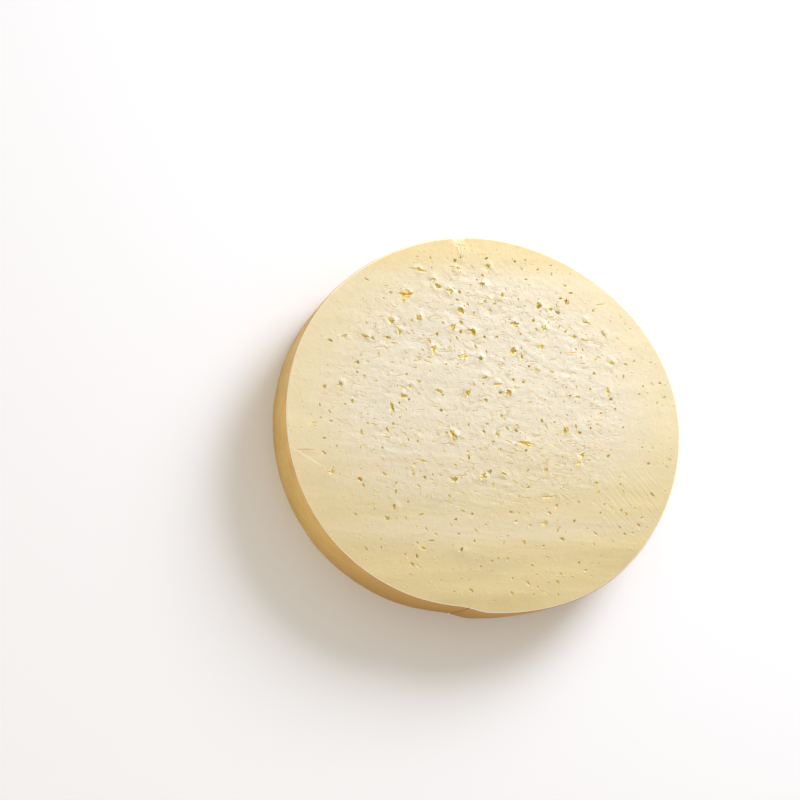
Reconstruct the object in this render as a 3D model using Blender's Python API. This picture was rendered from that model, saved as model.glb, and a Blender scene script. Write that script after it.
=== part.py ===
"""A thick round slice of pale semi-hard cheese, cut straight across a pressed log.

One solid: a slightly oval disc with a thin bulged rind, a press seam down its rim, a nick torn in the
edge and small irregular openings ("eyes") in both cut faces. It lies on its lower cut face.
Metres, +Z up. Origin: middle of the underside. +X runs along the wider way across.
"""

import math
import random

import bmesh
import bpy
from mathutils import Matrix, Vector

MM = 0.001

# The disc
MEAN_RADIUS = 100 * MM
THICKNESS = 28 * MM
# How far the rim departs from a circle, by the number of waves round it: (cosine part, sine part)
RIM_WAVES = {2: (5.0 * MM, 0.1 * MM), 3: (0.1 * MM, -0.3 * MM), 4: (0.0, 0.4 * MM), 5: (0.3 * MM, 0.3 * MM)}
RIM_POINTS = 150

# The rind swells a little between the two cut faces
CUT_EDGE_DEPTH = 0.8 * MM
CUT_EDGE_SWELL = 0.3 * MM
RIND_SWELL = 0.5 * MM

# The seam where the press mould met: the rim is flattened before it and steps out after it
SEAM_DEGREES = 256.8
SEAM_STEP_DEGREES = 4.8
SEAM_FLAT_IN = 1.3 * MM
SEAM_FLAT_DEGREES = 16.0
SEAM_PROUD_OUT = 0.5 * MM
SEAM_PROUD_DEGREES = 22.0

# The nick torn in the edge of the upper face
NICK_DEGREES = 95.0
NICK_WIDTH = 9.0 * MM
NICK_REACH = 3.2 * MM
NICK_DEPTH = 1.3 * MM

# The openings. Each of the large ones on the upper face: across, up, length, width in mm, turn in degrees
LARGE_EYES = [
    (-39.5, 64.5, 7.0, 3.4, 0), (-31.5, 77.5, 4.6, 2.2, -15), (-11.2, 78.5, 3.2, 2.0, 65),
    (-22.5, 68.3, 3.4, 2.8, 20), (-16.0, 66.0, 4.0, 2.2, -35), (-11.2, 56.2, 4.4, 3.2, 80),
    (17.5, 49.5, 4.2, 3.0, 15), (-6.0, 45.0, 3.6, 2.8, -30), (-48.5, 50.0, 3.8, 2.4, -45),
    (-63.0, 42.5, 4.2, 2.0, -35), (-27.5, 36.0, 5.2, 2.4, 80), (-12.5, 32.3, 4.8, 2.4, 0),
    (15.5, 35.5, 3.4, 3.0, 60), (32.0, 60.0, 3.2, 2.6, 30), (48.0, 63.0, 3.2, 2.4, 0),
    (63.5, 26.5, 3.0, 2.2, 25), (-51.7, 6.0, 4.8, 2.4, 85), (-11.5, 14.0, 4.0, 2.8, 70),
    (10.3, 14.0, 3.4, 2.8, 35), (66.0, 15.0, 4.0, 2.0, 75), (-21.0, -8.0, 4.8, 3.0, 75),
    (39.5, -6.0, 3.8, 3.0, 0), (16.0, -12.0, 7.2, 2.4, -15), (47.0, -18.5, 4.6, 2.6, 15),
    (-38.5, -20.0, 3.4, 2.0, -20), (-23.0, -29.5, 3.2, 2.2, 10), (-7.5, -28.3, 3.2, 2.4, 25),
    (3.5, -27.0, 3.2, 2.0, -10), (25.0, -39.5, 5.0, 1.8, 8), (-42.0, -62.0, 3.0, 1.8, -10),
]
# The rest are scattered: how many, and how long
UPPER_SMALL_EYES = 30
UPPER_SMALL_EYE_LENGTH = (2.0 * MM, 3.2 * MM)
UNDERSIDE_EYES = 36
UNDERSIDE_EYE_LENGTH = (2.4 * MM, 5.0 * MM)
EYE_WIDTH_PER_LENGTH = (0.45, 0.8)
EYE_SPACING = 8.0 * MM
EYE_FREE_RIM = 0.16
REST_SPOT_RADIUS = 12.0 * MM
EYE_DEPTH_PER_WIDTH = 0.8
EYE_POINTS = 10
# An opening narrows as it goes in: (share of its depth, share of its size), from above the cut face down
EYE_STEPS = [(0.0, 1.0), (0.5, 0.82), (1.0, 0.4)]
EYE_LID = 0.8 * MM
EYE_CORNER = 0.26
EYE_UNEVEN = 0.12
EYE_SEED = 11

# Pale, faintly yellow paste (linear colour)
PASTE_COLOUR = (0.83, 0.72, 0.47, 1.0)
PASTE_ROUGHNESS = 0.5


def clear_scene():
    for ob in list(bpy.data.objects):
        bpy.data.objects.remove(ob)


def paste_material():
    mat = bpy.data.materials.new("cheese_paste")
    mat.use_nodes = True
    shader = mat.node_tree.nodes["Principled BSDF"]
    shader.inputs["Base Color"].default_value = PASTE_COLOUR
    shader.inputs["Roughness"].default_value = PASTE_ROUGHNESS
    shader.inputs["Metallic"].default_value = 0.0
    return mat


def seam_offset(degrees):
    """How far the press seam moves the rim out, or in where negative, at an angle round the disc."""
    past = degrees - SEAM_DEGREES
    if -SEAM_FLAT_DEGREES < past <= 0:
        return -SEAM_FLAT_IN * (1 + past / SEAM_FLAT_DEGREES)
    if 0 < past <= SEAM_STEP_DEGREES:
        return -SEAM_FLAT_IN + (SEAM_PROUD_OUT + SEAM_FLAT_IN) * past / SEAM_STEP_DEGREES
    if SEAM_STEP_DEGREES < past < SEAM_PROUD_DEGREES:
        return SEAM_PROUD_OUT * (SEAM_PROUD_DEGREES - past) / (SEAM_PROUD_DEGREES - SEAM_STEP_DEGREES)
    return 0.0


def rim_radius(degrees):
    angle = math.radians(degrees)
    waves = sum(c * math.cos(k * angle) + s * math.sin(k * angle) for k, (c, s) in RIM_WAVES.items())
    return MEAN_RADIUS + waves + seam_offset(degrees % 360)


def rim_outline():
    """Points round the edge of the cut face, before the disc is centred."""
    points = []
    for i in range(RIM_POINTS):
        degrees = 360 * i / RIM_POINTS
        angle = math.radians(degrees)
        radius = rim_radius(degrees)
        points.append(Vector((radius * math.cos(angle), radius * math.sin(angle))))
    return points


def box_centre(points):
    xs = [p.x for p in points]
    ys = [p.y for p in points]
    return Vector(((min(xs) + max(xs)) / 2, (min(ys) + max(ys)) / 2))


def close_rings(bm, rings):
    """Joins stacked rings of points, lowest first, into a closed body."""
    loops = [[bm.verts.new(p) for p in ring] for ring in rings]
    count = len(loops[0])
    for lower, upper in zip(loops, loops[1:]):
        for i in range(count):
            j = (i + 1) % count
            bm.faces.new((lower[i], lower[j], upper[j], upper[i]))
    bm.faces.new(list(reversed(loops[0])))
    bm.faces.new(loops[-1])


def mesh_object(name, bm):
    mesh = bpy.data.meshes.new(name)
    bmesh.ops.recalc_face_normals(bm, faces=bm.faces)
    bm.to_mesh(mesh)
    bm.free()
    ob = bpy.data.objects.new(name, mesh)
    bpy.context.scene.collection.objects.link(ob)
    return ob


def make_disc(outline):
    """The slice before its eyes: two flat cut faces and a rind that swells between them."""
    levels = [
        (0.0, 0.0),
        (CUT_EDGE_DEPTH, CUT_EDGE_SWELL),
        (THICKNESS / 2, RIND_SWELL),
        (THICKNESS - CUT_EDGE_DEPTH, CUT_EDGE_SWELL),
        (THICKNESS, 0.0),
    ]
    bm = bmesh.new()
    rings = []
    for height, swell in levels:
        ring = []
        for p in outline:
            out = p + p.normalized() * swell
            ring.append(Vector((out.x, out.y, height)))
        rings.append(ring)
    close_rings(bm, rings)
    return mesh_object("cheese_slice", bm)


def eye_outline(rng):
    """One ragged opening of unit size: three or four soft corners, none of them alike."""
    corners = rng.choice((3, 3, 4))
    lean = rng.uniform(0, math.tau)
    points = []
    for i in range(EYE_POINTS):
        angle = math.tau * i / EYE_POINTS
        reach = 1 + EYE_CORNER * math.cos(corners * angle + lean) + rng.uniform(-EYE_UNEVEN, EYE_UNEVEN)
        points.append(Vector((0.5 * reach * math.cos(angle), 0.5 * reach * math.sin(angle))))
    return points


def add_eye(bm, rng, centre, length, width, turn, upper_face):
    """Adds one opening's tapering body to the cutter, its mouth on the upper or the lower cut face."""
    shape = eye_outline(rng)
    depth = width * EYE_DEPTH_PER_WIDTH
    place = Matrix.Translation((centre.x, centre.y, 0)) @ Matrix.Rotation(turn, 4, "Z")
    steps = [(-EYE_LID / depth, 1.0)] + EYE_STEPS
    rings = []
    for down, size in steps:
        height = THICKNESS - down * depth if upper_face else down * depth
        ring = [place @ Vector((p.x * length * size, p.y * width * size, height)) for p in shape]
        rings.append(ring)
    if upper_face:
        rings.reverse()
    close_rings(bm, rings)


def scattered_places(rng, count, taken, free_middle):
    """Random middles for openings, clear of the rim, of those already taken and of the disc's middle."""
    places = []
    while len(places) < count:
        degrees = rng.uniform(0, 360)
        reach = (1 - EYE_FREE_RIM) * rim_radius(degrees) * math.sqrt(rng.random())
        p = Vector((reach * math.cos(math.radians(degrees)), reach * math.sin(math.radians(degrees))))
        if reach > free_middle and all((p - q).length > EYE_SPACING for q in taken + places):
            places.append(p)
    return places


def add_scattered_eyes(bm, rng, places, middle, lengths, upper_face):
    for place in places:
        length = rng.uniform(*lengths)
        width = length * rng.uniform(*EYE_WIDTH_PER_LENGTH)
        add_eye(bm, rng, place - middle, length, width, rng.uniform(0, math.pi), upper_face)


def make_eye_cutter(outline):
    rng = random.Random(EYE_SEED)
    middle = box_centre(outline)
    bm = bmesh.new()
    large_places = []
    for across, up, length, width, turn in LARGE_EYES:
        place = Vector((across * MM, up * MM))
        large_places.append(place)
        add_eye(bm, rng, place - middle, length * MM, width * MM, math.radians(turn), True)
    upper_places = scattered_places(rng, UPPER_SMALL_EYES, large_places, 0.0)
    add_scattered_eyes(bm, rng, upper_places, middle, UPPER_SMALL_EYE_LENGTH, True)
    lower_places = scattered_places(rng, UNDERSIDE_EYES, [], REST_SPOT_RADIUS)
    add_scattered_eyes(bm, rng, lower_places, middle, UNDERSIDE_EYE_LENGTH, False)
    return mesh_object("eye_cutter", bm)


def make_nick_cutter(outline):
    """A wedge that bites into the upper edge. It starts as a point on the cut face and grows outwards,
    to the nick's width and depth at the rim and to twice them where it ends, as far outside."""
    angle = math.radians(NICK_DEGREES)
    out = Vector((math.cos(angle), math.sin(angle), 0))
    along = Vector((-out.y, out.x, 0))
    middle = box_centre(outline).to_3d()
    at_rim = out * rim_radius(NICK_DEGREES) - middle
    point = at_rim - out * NICK_REACH
    left_end = at_rim + out * NICK_REACH + along * NICK_WIDTH
    right_end = at_rim + out * NICK_REACH - along * NICK_WIDTH
    face = Vector((0, 0, THICKNESS))
    sunk = Vector((0, 0, THICKNESS - 2 * NICK_DEPTH))
    above = Vector((0, 0, THICKNESS + NICK_DEPTH))
    bm = bmesh.new()
    low = [point + face, right_end + sunk, left_end + sunk]
    high = [point + above, right_end + above, left_end + above]
    close_rings(bm, [low, high])
    return mesh_object("nick_cutter", bm)


def cut(body, cutter):
    """Takes the cutter's space out of the body and keeps the cutter as a hidden guide."""
    cutter.hide_render = True
    cutter.display_type = "WIRE"
    modifier = body.modifiers.new(cutter.name, "BOOLEAN")
    modifier.operation = "DIFFERENCE"
    modifier.solver = "EXACT"
    modifier.object = cutter


def build_slice():
    outline = rim_outline()
    middle = box_centre(outline)
    centred = [p - middle for p in outline]
    cheese = make_disc(centred)
    cheese.data.materials.append(paste_material())
    cut(cheese, make_eye_cutter(outline))
    cut(cheese, make_nick_cutter(outline))


clear_scene()
build_slice()
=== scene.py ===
"""Looks of a round slice of pale semi-hard cheese, laid flat with its freshly cut face up."""

import math

import bmesh
import bpy
import numpy as np
from mathutils import Matrix, Vector
from mathutils.geometry import delaunay_2d_cdt


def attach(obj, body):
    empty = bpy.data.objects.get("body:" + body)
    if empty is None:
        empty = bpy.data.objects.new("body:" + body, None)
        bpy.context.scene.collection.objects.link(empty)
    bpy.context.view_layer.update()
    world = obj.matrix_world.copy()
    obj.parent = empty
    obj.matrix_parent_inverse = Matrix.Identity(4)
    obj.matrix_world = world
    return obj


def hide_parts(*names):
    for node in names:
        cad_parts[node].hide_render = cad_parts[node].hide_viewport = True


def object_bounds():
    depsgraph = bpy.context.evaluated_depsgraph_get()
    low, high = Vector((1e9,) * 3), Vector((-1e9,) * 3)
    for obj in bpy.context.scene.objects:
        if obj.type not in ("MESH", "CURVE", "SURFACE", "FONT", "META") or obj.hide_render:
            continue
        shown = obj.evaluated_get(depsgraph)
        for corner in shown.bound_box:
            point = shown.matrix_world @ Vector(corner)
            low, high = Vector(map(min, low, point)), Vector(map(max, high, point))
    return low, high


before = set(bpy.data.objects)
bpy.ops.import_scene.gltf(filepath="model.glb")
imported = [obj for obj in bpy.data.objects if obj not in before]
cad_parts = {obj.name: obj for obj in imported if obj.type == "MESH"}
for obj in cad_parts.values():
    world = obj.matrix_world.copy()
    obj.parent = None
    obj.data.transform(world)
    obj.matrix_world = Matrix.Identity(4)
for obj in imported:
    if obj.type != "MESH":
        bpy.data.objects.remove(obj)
cad_low, cad_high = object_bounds()
mm = 0.001

# ---------------------------------------------------------------------------------------------
# The slice. One thick disc sawn and pulled off a pressed log of semi-hard cheese. The cut faces
# are moist paste, torn where the curd parted, with the curd's own small openings; the rim is
# a dry tan rind that kept the ribs of the press cloth.
# ---------------------------------------------------------------------------------------------
thickness = cad_high[2] - cad_low[2]
# The saw's bevel: how far down the rind, and how far out past the edge of the cut face
cut_edge_rings = [(0.0, -0.45 * mm), (0.4 * mm, 0.0), (0.8 * mm, 0.3 * mm)]
rind_swell, rind_taper = 0.5 * mm, 0.3
# An ellipse this tall, in mm, holds at every height
any_height = 1e6
disc_half_size = ((cad_high[0] - cad_low[0]) / 2 / mm, (cad_high[1] - cad_low[1]) / 2 / mm, any_height)
rib_pitch = 1.0 * mm
columns_per_rib, side_rings = 3, 4
torn_grid, smooth_grid, under_grid = 1.2 * mm, 2.3 * mm, 2.5 * mm
seam_angle = math.radians(256.8)
nick_middle, nick_half_size = (-8.4, 94.6, thickness / mm), (5.0, 3.4, 6.0)
torn_zone = dict(across=-3 * mm, up=15 * mm, half_width=88 * mm, half_height=70 * mm)
# How far the line along which the curd was drawn out is turned from straight across, in degrees
pull_turn = 10
paste_slot, rind_slot, wall_slot, cut_edge_slot = range(4)


def rim_of_frame():
    """Angles and reaches of the lower cut face's edge, read from the frame's own disc."""
    points = np.array([v.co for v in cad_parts["cheese_slice"].data.vertices])
    low = points[points[:, 2] < 0.01 * mm]
    reach = np.hypot(low[:, 0], low[:, 1])
    # The openings in this face all lie nearer the middle than this
    least_reach = 0.925 * reach.max() - 5 * mm
    edge = low[reach > least_reach]
    angle = np.arctan2(edge[:, 1], edge[:, 0])
    order = np.argsort(angle)
    return angle[order], np.hypot(edge[:, 0], edge[:, 1])[order]


def evened_rim(angles, reaches):
    """The edge at every degree, evened over a few degrees as the press left it."""
    degrees = np.radians(np.arange(360))
    spread = np.radians((-2.4, -1.2, 0.0, 1.2, 2.4))
    shifted = [np.interp(degrees + shift, angles, reaches, period=math.tau) for shift in spread]
    return degrees, sum(shifted) / len(spread)


rim_angles, rim_reaches = evened_rim(*rim_of_frame())
rib_count = round(math.tau * rim_reaches.mean() / rib_pitch)


def edge_reach(angle):
    return np.interp(angle, rim_angles, rim_reaches, period=math.tau)


def in_torn_zone(x, y):
    across = (x - torn_zone["across"]) / torn_zone["half_width"]
    up = (y - torn_zone["up"]) / torn_zone["half_height"]
    return across * across + up * up < 1


def face_points(spacing, keep, seed, jitter=0.2, edge_gap=0.7):
    """A jittered triangular grid over the disc, where keep(x, y) is true."""
    rng = np.random.default_rng(seed)
    points = []
    row_height = spacing * math.sqrt(3) / 2
    half = rim_reaches.max()
    for row in range(int(2 * half / row_height) + 1):
        for column in range(int(2 * half / spacing) + 1):
            shift_x, shift_y = rng.uniform(-jitter, jitter, 2) * spacing
            x = -half + (column + 0.5 * (row % 2)) * spacing + shift_x
            y = -half + row * row_height + shift_y
            if math.hypot(x, y) < edge_reach(math.atan2(y, x)) - edge_gap * spacing and keep(x, y):
                points.append(Vector((x, y)))
    return points


def add_cut_face(bm, edge_loop, inner_points, height, up):
    """Triangulates one cut face between its edge loop and the points inside it."""
    flat = [Vector(v.co[:2]) for v in edge_loop] + inner_points
    outline = list(range(len(edge_loop)))
    inside_outline, weld = 1, 1e-7
    verts, _, faces, origins, _, _ = delaunay_2d_cdt(flat, [], [outline], inside_outline, weld)
    made = []
    for point, origin in zip(verts, origins):
        on_edge = [i for i in origin if i < len(edge_loop)]
        made.append(edge_loop[on_edge[0]] if on_edge else bm.verts.new((point.x, point.y, height)))
    for face in faces:
        corners = [made[i] for i in face]
        bm.faces.new(corners if up else corners[::-1])


def new_object(name, data):
    """An object of that name and data, linked into the scene."""
    ob = bpy.data.objects.new(name, data)
    bpy.context.scene.collection.objects.link(ob)
    return ob


def make_blank():
    """The disc before tearing: two triangulated faces and a rind of narrow upright strips."""
    side = [(thickness * share, rind_swell * (1 - rind_taper * abs(2 * share - 1)))
            for share in np.linspace(0.15, 0.85, side_rings)]
    upper_rings = [(thickness - height, swell) for height, swell in reversed(cut_edge_rings)]
    rings = cut_edge_rings + side + upper_rings
    count = rib_count * columns_per_rib
    angles = np.arange(count) / count * math.tau
    reaches = edge_reach(angles)
    bm = bmesh.new()
    loops = []
    for height, swell in rings:
        loops.append([bm.verts.new(((r + swell) * math.cos(a), (r + swell) * math.sin(a), height))
                      for a, r in zip(angles, reaches)])
    for ring, (lower, upper) in enumerate(zip(loops, loops[1:])):
        slot = cut_edge_slot if ring in (0, len(loops) - 2) else rind_slot
        for i in range(count):
            j = (i + 1) % count
            bm.faces.new((lower[i], lower[j], upper[j], upper[i])).material_index = slot
    fine = face_points(torn_grid, in_torn_zone, seed=1)
    coarse = face_points(smooth_grid, lambda x, y: not in_torn_zone(x, y), seed=2)
    under = face_points(under_grid, lambda x, y: True, seed=3)
    add_cut_face(bm, loops[-1], fine + coarse, thickness, up=True)
    add_cut_face(bm, loops[0], under, 0.0, up=False)
    for face in bm.faces:
        face.smooth = True
    from_edge = bm.verts.layers.float.new("from_edge")
    for vert in bm.verts:
        vert[from_edge] = edge_reach(math.atan2(vert.co.y, vert.co.x)) - math.hypot(vert.co.x, vert.co.y)
    mesh = bpy.data.meshes.new("cheese_slice_body")
    bm.to_mesh(mesh)
    bm.free()
    return new_object("cheese_slice_body", mesh)


def add(tree, kind, links, out=0, **settings):
    """Adds a node with its settings and links, and returns the output that out names or numbers."""
    node = tree.nodes.new(kind)
    for name, value in settings.items():
        setattr(node, name, value)
    sockets = [s for s in node.inputs if s.enabled]
    for key, value in links.items():
        socket = sockets[key] if isinstance(key, int) else next(s for s in sockets if s.name == key)
        if isinstance(value, bpy.types.NodeSocket):
            tree.links.new(value, socket)
        else:
            socket.default_value = value
    outputs = [s for s in node.outputs if s.enabled]
    if isinstance(out, int):
        return outputs[out] if outputs else None
    return next(s for s in outputs if s.name == out)


as_colour = dict(out="Result", data_type="RGBA")
as_vector = dict(data_type="FLOAT_VECTOR")
eased = dict(interpolation_type="SMOOTHSTEP")


def new_tree(name, inputs):
    """An empty Geometry Nodes tree with a Geometry input and output and the named number inputs."""
    tree = bpy.data.node_groups.new(name, "GeometryNodeTree")
    tree.interface.new_socket("Geometry", in_out="INPUT", socket_type="NodeSocketGeometry")
    tree.interface.new_socket("Geometry", in_out="OUTPUT", socket_type="NodeSocketGeometry")
    for label, kind in inputs.items():
        tree.interface.new_socket(label, in_out="INPUT", socket_type=kind)
    start = tree.nodes.new("NodeGroupInput")
    end = tree.nodes.new("NodeGroupOutput")
    return tree, start.outputs, end.inputs[0]


def hex_colour(code):
    """A linear colour from an sRGB hex code."""
    parts = [int(code[i:i + 2], 16) / 255 for i in (0, 2, 4)]
    return (*[p / 12.92 if p <= 0.04045 else ((p + 0.055) / 1.055) ** 2.4 for p in parts], 1.0)


def new_material(name):
    """A material with one Principled shader, its tree, and Object coordinates in mm.

    A pattern's scale is therefore in repeats per mm: 0.4 gives a grain of 2.5 mm.
    """
    material = bpy.data.materials.new(name)
    material.use_nodes = True
    tree = material.node_tree
    tree.nodes.clear()
    shader = add(tree, "ShaderNodeBsdfPrincipled", {})
    add(tree, "ShaderNodeOutputMaterial", {"Surface": shader})
    place = add(tree, "ShaderNodeTexCoord", {}, out="Object")
    in_mm = add(tree, "ShaderNodeVectorMath", {0: place, "Scale": 1 / mm}, operation="SCALE")
    return material, tree, shader.node, in_mm


def set_shader(shader, values):
    """Sets what is the same all over a surface."""
    for name, value in values.items():
        shader.inputs[name].default_value = value


def drawn_out(tree, in_mm, turn, per_mm):
    """Coordinates of a pattern turned by turn degrees, with its own repeats per mm each way."""
    turned = add(tree, "ShaderNodeVectorRotate", {"Vector": in_mm, "Angle": math.radians(turn)},
                 rotation_type="Z_AXIS")
    return add(tree, "ShaderNodeVectorMath", {0: turned, 1: per_mm}, operation="MULTIPLY")


def ellipse_reach(tree, in_mm, middle, half_size):
    """How far a point lies out from the middle of an upright ellipse, 1 on its edge."""
    moved = add(tree, "ShaderNodeVectorMath", {0: in_mm, 1: middle}, operation="SUBTRACT")
    scaled = add(tree, "ShaderNodeVectorMath", {0: moved, 1: half_size}, operation="DIVIDE")
    return add(tree, "ShaderNodeVectorMath", {0: scaled}, out="Value", operation="LENGTH")


def torn_share(tree, in_mm):
    """1 where the middle of the cut face is torn, in patches, and 0 at the smooth ring along the rind."""
    middle = (torn_zone["across"] / mm, torn_zone["up"] / mm, thickness / mm)
    half_size = (torn_zone["half_width"] / mm, torn_zone["half_height"] / mm, any_height)
    reach = ellipse_reach(tree, in_mm, middle, half_size)
    share = add(tree, "ShaderNodeMapRange", {"Value": reach, "From Min": 1.08, "From Max": 0.7}, **eased)
    patches = add(tree, "ShaderNodeTexNoise",
                  {"Vector": in_mm, "Scale": 0.075, "Detail": 2.0, "Roughness": 0.6})
    patches = add(tree, "ShaderNodeMapRange",
                  {"Value": patches, "From Min": 0.4, "From Max": 0.58, "To Min": 0.45, "To Max": 1.0},
                  **eased)
    return add(tree, "ShaderNodeMath", {0: share, 1: patches}, operation="MULTIPLY")


def seam_share(tree, in_mm):
    """1 on the crease where the press cloth overlapped, falling to 0 beside it."""
    across_seam = add(tree, "ShaderNodeVectorRotate", {"Vector": in_mm, "Angle": -seam_angle},
                      rotation_type="Z_AXIS")
    beside = add(tree, "ShaderNodeSeparateXYZ", {0: across_seam}, out="Y")
    on_this_side = add(tree, "ShaderNodeMath", {0: beside.node.outputs["X"], 1: 0.0},
                       operation="GREATER_THAN")
    beside = add(tree, "ShaderNodeMath", {0: beside}, operation="ABSOLUTE")
    share = add(tree, "ShaderNodeMapRange", {"Value": beside, "From Min": 1.0, "From Max": 0.1}, **eased)
    return add(tree, "ShaderNodeMath", {0: share, 1: on_this_side}, operation="MULTIPLY")


def relief_tree():
    """Roughens the blank: torn curd and slow waves on the cut face, ribs and dents on the rind."""
    number = "NodeSocketFloat"
    tree, given, result = new_tree("cut face and rind", {
        "Larger eyes": "NodeSocketObject", "Cut paste": "NodeSocketMaterial",
        "Lip height": number, "Nick depth": number,
        "Torn lumps": number, "Ledges": number, "Drag ridges": number, "Slow waves": number,
        "Rib count": number, "Rib height": number, "Rind dents": number, "Seam depth": number})
    position = add(tree, "GeometryNodeInputPosition", {})
    in_mm = add(tree, "ShaderNodeVectorMath", {0: position, "Scale": 1 / mm}, operation="SCALE")
    x = add(tree, "ShaderNodeSeparateXYZ", {0: in_mm}, out="X")
    y = x.node.outputs["Y"]
    normal = add(tree, "GeometryNodeInputNormal", {})
    up = add(tree, "ShaderNodeSeparateXYZ", {0: normal}, out="Z")
    on_top = add(tree, "ShaderNodeMapRange", {"Value": up, "From Min": 0.8, "From Max": 0.98})
    # The relief dies out at the edge, where the rind held the paste
    from_edge = add(tree, "GeometryNodeInputNamedAttribute", {"Name": "from_edge"})
    off_edge = add(tree, "ShaderNodeMapRange",
                   {"Value": from_edge, "From Min": 1.0 * mm, "From Max": 7.0 * mm})
    on_top = add(tree, "ShaderNodeMath", {0: on_top, 1: off_edge}, operation="MULTIPLY")
    level = add(tree, "ShaderNodeMath", {0: up}, operation="ABSOLUTE")
    on_rind = add(tree, "ShaderNodeMapRange", {"Value": level, "From Min": 0.9, "From Max": 0.4})
    torn = add(tree, "ShaderNodeMath", {0: torn_share(tree, in_mm), 1: on_top}, operation="MULTIPLY")
    # Lumps where the curd parted, and ridges dragged along the pull, a little off level
    lumps = add(tree, "ShaderNodeTexNoise",
                {"Vector": in_mm, "Scale": 0.22, "Detail": 4.0, "Roughness": 0.6})
    pulled = drawn_out(tree, in_mm, pull_turn, per_mm=(0.05, 0.36, 0.3))
    drag = add(tree, "ShaderNodeTexNoise", {"Vector": pulled, "Scale": 1.0, "Detail": 2.0})
    waves = add(tree, "ShaderNodeVectorMath", {0: in_mm, 1: (0.014, 0.075, 0.03)}, operation="MULTIPLY")
    waves = add(tree, "ShaderNodeTexNoise",
                {"Vector": waves, "Scale": 1.0, "Detail": 2.0, "Distortion": 0.3})
    # Flakes that lifted leave ledges, and the paste stands up a little round each larger opening
    ledges = add(tree, "ShaderNodeTexNoise",
                 {"Vector": pulled, "Scale": 0.7, "Detail": 3.0, "Distortion": 1.2})
    ledges = add(tree, "ShaderNodeMapRange", {"Value": ledges, "From Min": 0.46, "From Max": 0.54},
                 **eased)
    eyes = add(tree, "GeometryNodeObjectInfo", {"Object": given["Larger eyes"]}, out="Geometry")
    near = add(tree, "GeometryNodeProximity", {"Geometry": eyes, "Sample Position": position},
               out="Distance", target_element="POINTS")
    lip = add(tree, "ShaderNodeMapRange", {"Value": near, "From Min": 3.6 * mm, "From Max": 1.8 * mm},
              **eased)
    lip_patches = add(tree, "ShaderNodeMapRange", {"Value": lumps, "From Min": 0.42, "From Max": 0.6,
                                                   "To Min": -0.2, "To Max": 1.0})
    lip = add(tree, "ShaderNodeMath", {0: lip, 1: lip_patches, 2: 0.5}, operation="MULTIPLY_ADD")
    # The nick in the far edge, where a flap of paste came away with the knife
    nick = ellipse_reach(tree, in_mm, nick_middle, nick_half_size)
    nick = add(tree, "ShaderNodeMapRange",
               {"Value": nick, "From Min": 1.0, "From Max": 0.4, "To Max": -1.0}, **eased)
    nick = add(tree, "ShaderNodeMath", {0: nick, 1: 0.5}, operation="ADD")
    heights = []
    for noise, height, share in ((lumps, given["Torn lumps"], torn), (drag, given["Drag ridges"], torn),
                                 (ledges, given["Ledges"], torn), (lip, given["Lip height"], on_top),
                                 (nick, given["Nick depth"], 1.0),
                                 (waves, given["Slow waves"], on_top)):
        centred = add(tree, "ShaderNodeMath", {0: noise, 1: 0.5}, operation="SUBTRACT")
        scaled = add(tree, "ShaderNodeMath", {0: centred, 1: height}, operation="MULTIPLY")
        heights.append(add(tree, "ShaderNodeMath", {0: scaled, 1: share}, operation="MULTIPLY"))
    # Ribs run along the thickness, fainter in places; dents are broad
    round_angle = add(tree, "ShaderNodeMath", {0: y, 1: x}, operation="ARCTAN2")
    turns = add(tree, "ShaderNodeMath", {0: round_angle, 1: given["Rib count"]}, operation="MULTIPLY")
    rib = add(tree, "ShaderNodeMath", {0: turns}, operation="SINE")
    patch = add(tree, "ShaderNodeTexNoise", {"Vector": in_mm, "Scale": 0.06, "Detail": 2.0})
    rib = add(tree, "ShaderNodeMath", {0: rib, 1: patch}, operation="MULTIPLY")
    rib = add(tree, "ShaderNodeMath", {0: rib, 1: given["Rib height"]}, operation="MULTIPLY")
    dents = add(tree, "ShaderNodeTexNoise", {"Vector": in_mm, "Scale": 0.05, "Detail": 3.0})
    dents = add(tree, "ShaderNodeMath", {0: dents, 1: 0.5}, operation="SUBTRACT")
    rind = add(tree, "ShaderNodeMath", {0: dents, 1: given["Rind dents"], 2: rib}, operation="MULTIPLY_ADD")
    seam = add(tree, "ShaderNodeMath", {0: seam_share(tree, in_mm), 1: given["Seam depth"]},
               operation="MULTIPLY")
    rind = add(tree, "ShaderNodeMath", {0: rind, 1: seam}, operation="SUBTRACT")
    heights.append(add(tree, "ShaderNodeMath", {0: rind, 1: on_rind}, operation="MULTIPLY"))
    total = heights[0]
    for height in heights[1:]:
        total = add(tree, "ShaderNodeMath", {0: total, 1: height}, operation="ADD")
    total = add(tree, "ShaderNodeMath", {0: total, 1: mm}, operation="MULTIPLY")
    offset = add(tree, "ShaderNodeVectorMath", {0: normal, "Scale": total}, operation="SCALE")
    moved = add(tree, "GeometryNodeSetPosition", {"Geometry": given["Geometry"], "Offset": offset})
    moved = add(tree, "GeometryNodeRealizeInstances", {"Geometry": moved})
    slot_number = add(tree, "GeometryNodeInputMaterialIndex", {})
    cut = add(tree, "ShaderNodeMath", {0: slot_number, 1: paste_slot + 0.5}, operation="LESS_THAN")
    moved = add(tree, "GeometryNodeSetMaterial",
                {"Geometry": moved, "Selection": cut, "Material": given["Cut paste"]})
    tree.links.new(moved, result)
    return tree


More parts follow.
